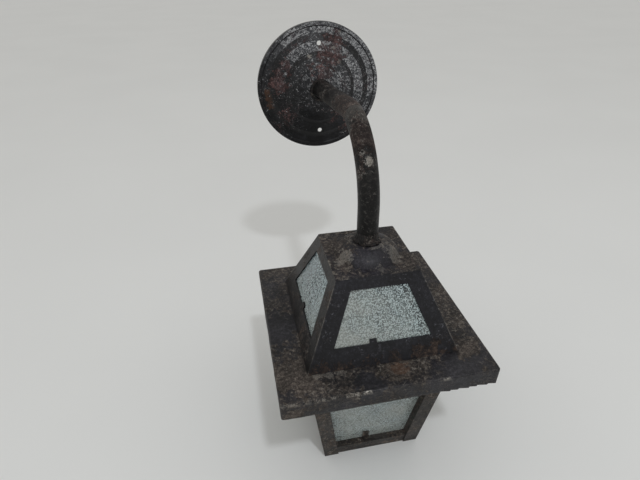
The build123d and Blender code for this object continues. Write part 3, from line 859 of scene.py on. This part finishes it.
@dataclass
class PebbledPane:
    """One pane of rolled glass. Its outer face is pebbled and its inner face is plain."""

    node: str
    outward: Vector
    dressing: dict[str, Material]
    dust: tuple[float, float] = (0.55, 0.9)  # at the top and at the foot
    # raises the dust value towards the left edge, so the pane turns milkier and more even there
    milkier_left: float = 0.0
    pebble: float = 1.3 * MM
    relief: float = 0.28 * MM
    step: float = 0.42 * MM

    def corners(self) -> tuple[list[Vector], list[Vector], Vector]:
        """Read the pane's corners from its CAD node.

        Returns:
            Corners of the outer face and of the inner face, each from low left round to high left
            as seen from outside, and the outer face's normal.
        """
        data = frame["nodes"][self.node].data
        facing = [p for p in data.polygons if p.normal.dot(self.outward) > 0.3]
        normal = max(facing, key=lambda p: p.area).normal.copy()
        along = Vector((0, 0, 1)).cross(normal).normalized()
        depths = [v.co.dot(normal) for v in data.vertices]
        faces = []
        for depth in (max(depths), min(depths)):
            spots = {
                tuple(round(c, 6) for c in v.co)
                for v, d in zip(data.vertices, depths)
                if abs(d - depth) < 0.1 * MM
            }
            spots = sorted((Vector(s) for s in spots), key=lambda s: s.z)
            low = sorted(spots[:2], key=lambda s: s.dot(along))
            high = sorted(spots[-2:], key=lambda s: -s.dot(along))
            faces.append(low + high)
        return faces[0], faces[1], normal

    @staticmethod
    def across(corners: list[Vector], u: float, v: float) -> Vector:
        """Point at shares u and v of the way across and up a face."""
        low = corners[0].lerp(corners[1], u)
        high = corners[3].lerp(corners[2], u)
        return low.lerp(high, v)

    def dome(self, point: Vector) -> float:
        """How far a pebble's crown stands above the lowest glass at a point, from 0 to 1."""
        near = noise.voronoi(point / self.pebble)[0][0]
        return max(0.0, 1.0 - (near / 0.8) ** 2)

    def build(self) -> bpy.types.Object:
        """Build the pane from a fine grid, its pebbled face, closed by a rim and a plain back."""
        outer, inner, normal = self.corners()
        wide = max((outer[1] - outer[0]).length, (outer[2] - outer[3]).length)
        tall = (outer[3] - outer[0]).length
        mesh = bmesh.new()
        bmesh.ops.create_grid(
            mesh, x_segments=round(wide / self.step), y_segments=round(tall / self.step), size=1.0
        )
        valley = mesh.verts.layers.float.new("valley")
        dust = mesh.verts.layers.float.new("dust")
        for face in mesh.faces:
            face.smooth = True
        shares = {}
        for vert in mesh.verts:
            u, v = (vert.co.x + 1) / 2, (vert.co.y + 1) / 2
            shares[vert] = (u, v)
            point = self.across(outer, u, v)
            vert[valley] = 1 - self.dome(point)
            vert[dust] = self.dust[0] * v + self.dust[1] * (1 - v) + self.milkier_left * (0.5 - u)
            vert.co = point - normal * self.relief * vert[valley]
        rim = [e for e in mesh.edges if e.is_boundary]
        for edge in rim:
            edge.smooth = False
        wall = bmesh.ops.extrude_edge_only(mesh, edges=rim)["geom"]
        moved = [e for e in wall if isinstance(e, bmesh.types.BMVert)]
        outer_spots = {vert.co.to_tuple(7): shares[vert] for vert in shares}
        for vert in moved:
            u, v = outer_spots[vert.co.to_tuple(7)]
            vert.co = self.across(inner, u, v)
        back_rim = [e for e in mesh.edges if e.is_boundary]
        for edge in back_rim:
            edge.smooth = False
        for face in mesh.faces:
            face.material_index = 0 if face.smooth else 1
        bmesh.ops.contextual_create(mesh, geom=back_rim)
        bmesh.ops.recalc_face_normals(mesh, faces=mesh.faces)
        piece = finished_piece(
            mesh, self.node + "_pebbled", "lantern", "pebbled_glass", self.dressing
        )
        piece.data.materials.append(self.dressing["glass_edge"])
        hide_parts(self.node)
        return piece


@dataclass
class EaveBrim:
    """The eave as it was really folded: a slightly dished brim with a dented, rippled lip."""

    dressing: dict[str, Material]
    half: float = 95.0
    corner: float = 3.0
    edge: float = 1.8
    lip: float = 17.3
    sheet: float = 1.2
    side_cuts: int = 150
    corner_cuts: int = 4
    bite: float = 8.6  # from one bite of the folding pliers to the next
    rubbed: tuple[tuple[float, float, float], ...] = (
        (-95, -50, 0.5), (-41, -19, 1.0), (42, 50, 0.6)
    )

    def station(self, inset: float, h: float) -> list[Vector]:
        """Places of one loop round the eave.

        Args:
            inset: How far the loop lies in from the eave's outside, in millimetres.
            h: Height of the loop.

        Returns:
            Places in metres, in order round the loop.
        """
        half = self.half - inset
        radius = max(self.corner - inset, 0.6)
        loop = []
        for turn in range(4):
            spin = Matrix.Rotation(math.radians(90 * turn), 3, "Z")
            for cut in range(self.side_cuts):
                x = (half - radius) * (2 * cut / self.side_cuts - 1)
                loop.append(spin @ Vector((x, -half, h)))
            for cut in range(self.corner_cuts):
                angle = math.radians(90 * cut / self.corner_cuts)
                out, back = radius * math.sin(angle), radius * math.cos(angle)
                loop.append(spin @ Vector((half - radius + out, radius - half - back, h)))
        return [Vector(on_lantern(*place)) for place in loop]

    def profile(self) -> list[tuple[float, float]]:
        """Insets and heights from the opening out over the edge and down the lip."""
        insets = (39, 35.5, 32, 28.5, 25, 21.5, 18, 14.5, 11, 8, 5.5, 3.5, 2.4)
        flat = [(inset, 0.0) for inset in insets]
        bend = [
            (self.edge * (1 - math.sin(a)), self.edge * (math.cos(a) - 1))
            for a in (math.radians(22.5 * step) for step in range(5))
        ]
        drop = [(0.0, -self.edge - (self.lip - self.edge) * step / 7) for step in range(1, 8)]
        return flat + bend + drop

    def dented(self, place: Vector) -> Vector:
        """Move a place by the brim's dents, always inwards from the true form.

        Args:
            place: Place on the true form.

        Returns:
            The dented place.
        """
        off = (place - Vector(on_lantern(0, 0, 0))) / MM
        inset = self.half - max(abs(off.x), abs(off.y))
        soft = noise.noise(place / (28 * MM)) * 0.5 + 0.5
        small = noise.noise(place / (8 * MM) + Vector((4, 7, 1))) * 0.5 + 0.5
        down_lip = min(max(-off.z / self.lip, 0.0), 1.0)
        # bites left by the folding pliers on the front lip's right-hand half
        crease = 0.0
        if off.y < -90 and off.x > 0:
            share = min(off.x / 40, 1.0)
            crease = share * (1 - (off.x / self.bite + 0.3 * small) % 1.0)
        push = down_lip * (0.55 * soft + 0.3 * small + 0.5 * crease)
        lift = down_lip**4 * (0.3 * small + 0.9 * crease)
        sag = (1 - down_lip) * (0.4 * soft + 0.2 * small) * min(1.0, inset / 6.0)
        if abs(off.x) > abs(off.y):
            inwards = Vector((-math.copysign(push, off.x), 0, lift - sag))
        else:
            inwards = Vector((0, -math.copysign(push, off.y), lift - sag))
        return place + inwards * MM

    def rub(self, place: Vector, inset: float, h: float) -> float:
        """How far the paint is rubbed off at a place: only along the fold, most at the front."""
        if not (inset < self.edge and h > -self.edge):
            return 0.0
        off = (place - AXIS) / MM
        at_front = off.y < -self.half + self.corner
        worn = (share for low, high, share in self.rubbed if at_front and low < off.x < high)
        return max(worn, default=0.06)

    def build(self) -> bpy.types.Object:
        """Build the brim loop by loop, then give the sheet its thickness."""
        mesh = bmesh.new()
        wear = mesh.verts.layers.float.new("edge_wear")
        stations = self.profile()
        first = self.station(*stations[0])
        ring = bmesh.ops.create_circle(mesh, segments=len(first), radius=1.0)["verts"]
        ring.sort(key=lambda v: math.atan2(v.co.x, -v.co.y) % (2 * math.pi))
        edges = mesh.edges[:]
        loop = ring
        for number, (inset, h) in enumerate(stations):
            places = self.station(inset, h)
            if number:
                made = bmesh.ops.extrude_edge_only(mesh, edges=edges)["geom"]
                fresh = {v for v in made if isinstance(v, bmesh.types.BMVert)}
                edges = [e for e in made if isinstance(e, bmesh.types.BMEdge)]
                edges = [e for e in edges if set(e.verts) <= fresh]
                loop = [
                    next(e.other_vert(v) for e in v.link_edges if e.other_vert(v) in fresh)
                    for v in loop
                ]
            for vert, place in zip(loop, places):
                vert.co = self.dented(place)
                vert[wear] = self.rub(place, inset, h)
        smooth_outwards(mesh)
        above = max(mesh.faces, key=lambda f: f.calc_center_median().z)
        if above.normal.z < 0:
            bmesh.ops.reverse_faces(mesh, faces=mesh.faces)
        bmesh.ops.solidify(mesh, geom=mesh.faces[:], thickness=self.sheet * MM)
        piece = finished_piece(mesh, "eave_folded", "lantern", "eave_steel", self.dressing)
        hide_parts("eave")
        return piece


@dataclass
class WeldBead:
    """A hand-laid weld bead round the tube: overlapping ripples and lumps on a ring."""

    node: str
    centre: Vector
    direction: Vector
    profile: tuple[tuple[float, float], ...]  # radius and height along the tube, in millimetres
    dressing: dict[str, Material]
    lumps: int = 11
    depth: float = 1.6
    steps: int = 96

    def build(self) -> bpy.types.Object:
        """Spin the bead's section round the tube, then press the ripples and lumps into it."""
        mesh = revolved(list(self.profile), closed=True, steps=self.steps)
        bmesh.ops.subdivide_edges(mesh, edges=mesh.edges[:], cuts=1, smooth=0.0, use_grid_fill=True)
        bmesh.ops.smooth_vert(
            mesh, verts=mesh.verts, factor=0.5, use_axis_x=True, use_axis_y=True, use_axis_z=True
        )
        bmesh.ops.recalc_face_normals(mesh, faces=mesh.faces)
        inner = min(radius for radius, _ in self.profile)
        for vert in mesh.verts:
            angle = math.atan2(vert.co.y, vert.co.x)
            radius = math.hypot(vert.co.x, vert.co.y)
            if radius < (inner + 0.4) * MM:
                continue
            ripple = 0.5 + 0.5 * math.sin(angle * self.lumps * 2 + vert.co.z / MM)
            lump = noise.noise(vert.co / (3.4 * MM)) * 0.5 + 0.5
            scale = noise.noise(vert.co / (0.9 * MM)) * 0.5 + 0.5
            press = self.depth * (0.3 * ripple + 0.8 * lump + 0.35 * scale) * MM
            vert.co.x *= 1 - press / radius
            vert.co.y *= 1 - press / radius
            # the welder stopped higher on one side than on the other
            around = Vector((math.cos(angle), math.sin(angle), 0.4))
            vert.co.z *= 0.72 + 0.28 * noise.noise(around * 1.6)
        for face in mesh.faces:
            face.smooth = True
        turned = Vector((0, 0, 1)).rotation_difference(self.direction).to_matrix().to_4x4()
        bmesh.ops.transform(mesh, matrix=Matrix.Translation(self.centre) @ turned, verts=mesh.verts)
        piece = finished_piece(mesh, self.node + "_bead", "lantern", "weld_steel", self.dressing)
        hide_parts(self.node)
        return piece


@dataclass
class RopeThread:
    """A shell rolled with the round rope thread of a screw lamp cap, 3.62 mm to a turn."""

    node: str
    body: str
    slot: str
    outline: tuple[tuple[float, float], ...]  # radius and height h, in millimetres
    threaded: tuple[float, float]  # heights between which the thread runs
    depth: float  # millimetres, towards the axis
    wall: float
    dressing: dict[str, Material]
    pitch: float = 3.625
    steps: int = 72
    cut: float = 0.45  # longest piece of the outline
    run_out: float = 1.2

    def build(self) -> bpy.types.Object:
        """Spin the outline round the lantern's axis, roll the thread into it, and thicken it."""
        points: list[tuple[float, float]] = []
        for (r0, h0), (r1, h1) in zip(self.outline, self.outline[1:]):
            cuts = max(1, round(math.hypot(r1 - r0, h1 - h0) / self.cut))
            points += [(r0 + (r1 - r0) * i / cuts, h0 + (h1 - h0) * i / cuts) for i in range(cuts)]
        points.append(self.outline[-1])
        mesh = revolved(points, closed=False, steps=self.steps)
        low, high = sorted(self.threaded)
        for vert in mesh.verts:
            h = vert.co.z / MM
            radius = math.hypot(vert.co.x, vert.co.y)
            fade = min(1.0, max(0.0, min(h - low, high - h) / self.run_out))
            wave = 0.5 - 0.5 * math.cos(
                2 * math.pi * h / self.pitch - math.atan2(vert.co.y, vert.co.x)
            )
            shrink = 1 - self.depth * MM * fade * wave / radius
            vert.co.x *= shrink
            vert.co.y *= shrink
        smooth_outwards(mesh)
        side = max(mesh.faces, key=lambda f: f.calc_center_median().to_2d().length)
        if side.normal.to_2d().dot(side.calc_center_median().to_2d()) < 0:
            bmesh.ops.reverse_faces(mesh, faces=mesh.faces)
        bmesh.ops.solidify(mesh, geom=mesh.faces[:], thickness=self.wall * MM)
        bmesh.ops.translate(mesh, vec=Vector(on_lantern(0, 0, 0)), verts=mesh.verts)
        piece = finished_piece(mesh, self.node + "_threaded", self.body, self.slot, self.dressing)
        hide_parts(self.node)
        return piece


@dataclass
class SlottedScrews:
    """The terminal block's four cheese-head clamping screws, seen in their wells."""

    dressing: dict[str, Material]
    radius: float = 1.5
    slot_half: float = 0.25
    slot_depth: float = 0.7

    def build(self) -> bpy.types.Object:
        """Build each screw from a disc: bevelled, cut across, and its slot sunk."""
        low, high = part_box("terminal_screws")
        mesh = bmesh.new()
        centres = [
            Vector((x, 0, z))
            for x in (low.x + self.radius * MM, high.x - self.radius * MM)
            for z in (low.z + self.radius * MM, high.z - self.radius * MM)
        ]
        for number, centre in enumerate(centres):
            part = bmesh.new()
            bmesh.ops.create_cone(
                part, cap_ends=True, segments=28, radius1=self.radius * MM,
                radius2=self.radius * MM, depth=high.y - low.y,
            )
            top_edges = [e for e in part.edges if all(v.co.z > 0 for v in e.verts)]
            bmesh.ops.bevel(
                part, geom=top_edges, offset=0.25 * MM, segments=2, profile=0.5, affect="EDGES",
                material=-1,
            )
            for side in (-1, 1):
                bmesh.ops.bisect_plane(
                    part, geom=part.verts[:] + part.edges[:] + part.faces[:],
                    plane_co=(side * self.slot_half * MM, 0, 0), plane_no=(1, 0, 0),
                )
            top = max(v.co.z for v in part.verts)
            strip = [
                f
                for f in part.faces
                if f.normal.z > 0.9
                and abs(f.calc_center_median().x) < self.slot_half * MM
                and f.calc_center_median().z > top - 0.01 * MM
            ]
            sunk = bmesh.ops.extrude_face_region(part, geom=strip)["geom"]
            bmesh.ops.delete(part, geom=strip, context="FACES")
            bmesh.ops.translate(
                part, vec=(0, 0, -self.slot_depth * MM),
                verts=[v for v in sunk if isinstance(v, bmesh.types.BMVert)],
            )
            place = (
                Matrix.Translation((centre.x, (low.y + high.y) / 2, centre.z))
                @ Matrix.Rotation(math.radians(-90), 4, "X")
                @ Matrix.Rotation(math.radians(35 + 50 * number), 4, "Z")
            )
            bmesh.ops.transform(part, matrix=place, verts=part.verts)
            loose = bpy.data.meshes.new("screw")
            part.to_mesh(loose)
            part.free()
            mesh.from_mesh(loose)
            bpy.data.meshes.remove(loose)
        bmesh.ops.recalc_face_normals(mesh, faces=mesh.faces)
        piece = finished_piece(mesh, "terminal_screws_slotted", "lantern", "brass", self.dressing)
        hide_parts("terminal_screws")
        return piece


# --- The whole ------------------------------------------------------------------------------------


@dataclass
class Lantern:
    """Every piece of the lantern, dressed."""

    dressing: dict[str, Material]

    def dress_nodes(self) -> None:
        """Give each CAD node the finish of its slot."""
        own = {"roof_panel_" + side: "roof_side_sheet" for side in ("right", "back", "left")}
        own["roof_cap"] = "cap_sheet"
        for part in frame["record"]["subparts"]:
            node = frame["nodes"][part["node"]]
            node.data.materials.clear()
            finish = own.get(part["node"], part["material_slot"])
            node.data.materials.append(self.dressing[finish])

    def build(self) -> None:
        """Build the pieces that replace plain CAD nodes."""
        for turn, side in enumerate(("front", "right", "back", "left")):
            outward = Matrix.Rotation(math.radians(90 * turn), 3, "Z") @ Vector((0, -1, 0))
            PebbledPane("body_glass_" + side, outward, self.dressing).build()
            settled = (-0.3, 0.6) if side == "left" else (0.4, 0.8)
            PebbledPane(
                "roof_glass_" + side, outward, self.dressing, dust=settled,
                # the front roof pane is milkier and more even towards its left
                milkier_left=0.9 if side == "front" else 0.0,
            ).build()
        EaveBrim(self.dressing).build()
        WeldBead(
            "cap_weld", Vector(on_lantern(0, 0, 84.5)), Vector((0, 0, 1)),
            (
                (9.6, 0), (12.2, 0), (13.5, 0.6), (13.2, 2.4), (12.3, 4.4), (11.4, 6.4),
                (10.6, 8.6), (9.6, 10.4),
            ),
            self.dressing,
        ).build()
        low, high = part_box("plate_weld")
        WeldBead(
            "plate_weld", Vector(((low.x + high.x) / 2, high.y, (low.z + high.z) / 2)),
            Vector((0, -1, 0)),
            ((9.7, 0), (11.8, 0), (13.1, 0.3), (12.8, 1.6), (11.9, 2.6), (10.7, 3.2), (9.7, 3.3)),
            self.dressing, depth=0.6,
        ).build()
        RopeThread(
            "bulb_cap", "lamp", "cap_metal",
            ((9.5, 32.0), (11.4, 30.8), (13.05, 28.6), (13.05, 10.0)), (11.5, 28.8), 0.75, 0.3,
            self.dressing,
        ).build()
        SlottedScrews(self.dressing).build()


@dataclass
class Studio:
    """Pale table, soft light and the camera."""

    floor_z: float
    eye: tuple[float, float, float] = (-0.10925, -0.56381, 0.13964)
    turned: float = 11.01  # degrees to the right
    looking_down: float = 31.74
    tilted: float = -0.67
    lens: float = 26.46
    sensor: float = 36.0
    table_half: float = 12.0
    sky_strength: float = 0.65
    lamp_place: tuple[float, float, float] = (0.085, -1.26, 1.59)
    lamp_size: float = 0.14
    lamp_power: float = 9.0

    def build(self) -> None:
        """Build the floor, the light and the camera."""
        self.build_floor()
        self.build_light()
        self.build_camera()

    def build_floor(self) -> None:
        """Lay the table's top under the lantern's foot."""
        mesh = bmesh.new()
        bmesh.ops.create_grid(mesh, x_segments=4, y_segments=4, size=self.table_half)
        bmesh.ops.translate(mesh, vec=(0, 0, self.floor_z), verts=mesh.verts)
        data = bpy.data.meshes.new("table_top")
        mesh.to_mesh(data)
        mesh.free()
        data.materials.append(TableLacquer().material())
        floor = bpy.data.objects.new("table_top", data)
        bpy.context.scene.collection.objects.link(floor)

    def build_light(self) -> None:
        """Fill the room with soft white light and add one small lamp above the front."""
        world = bpy.data.worlds.new("room")
        world.use_nodes = True
        sky = world.node_tree.nodes["Background"]
        sky.inputs["Color"].default_value = linear("#F9F8F5")
        sky.inputs["Strength"].default_value = self.sky_strength
        bpy.context.scene.world = world
        lamp = bpy.data.lights.new("ceiling_lamp", "AREA")
        lamp.shape = "DISK"
        lamp.size = self.lamp_size
        lamp.energy = self.lamp_power
        lamp.color = linear("#F6FAFF")[:3]
        holder = bpy.data.objects.new("ceiling_lamp", lamp)
        place = Vector(self.lamp_place)
        aim = Vector((AXIS.x, AXIS.y, self.floor_z)) - place
        facing = aim.to_track_quat("-Z", "Y").to_matrix().to_4x4()
        holder.matrix_world = Matrix.Translation(place) @ facing
        bpy.context.scene.collection.objects.link(holder)

    def build_camera(self) -> None:
        """Place the camera by its heading, its downward tilt and its slight roll."""
        yaw, pitch, roll = (math.radians(a) for a in (self.turned, self.looking_down, self.tilted))
        ahead = Vector(
            (math.sin(yaw) * math.cos(pitch), math.cos(yaw) * math.cos(pitch), -math.sin(pitch))
        )
        right = ahead.cross(Vector((0, 0, 1))).normalized()
        above = right.cross(ahead)
        across = right * math.cos(roll) + above * math.sin(roll)
        upwards = -right * math.sin(roll) + above * math.cos(roll)
        data = bpy.data.cameras.new("camera")
        data.lens = self.lens
        data.sensor_width = self.sensor
        data.clip_start = 0.01
        camera = bpy.data.objects.new("camera", data)
        turn = Matrix((across, upwards, -ahead)).transposed().to_4x4()
        camera.matrix_world = Matrix.Translation(Vector(self.eye)) @ turn
        bpy.context.scene.collection.objects.link(camera)
        bpy.context.scene.camera = camera


def main() -> None:
    """Build the studio and the lantern."""
    logging.basicConfig(level=logging.INFO, format="%(message)s")
    bpy.context.scene.view_settings.view_transform = "Standard"
    lowest = cad_bounds[0][2]
    Studio(floor_z=lowest).build()
    dressing = finishes()
    lantern = Lantern(dressing)
    lantern.dress_nodes()
    lantern.build()


if __name__ == "__main__":
    main()
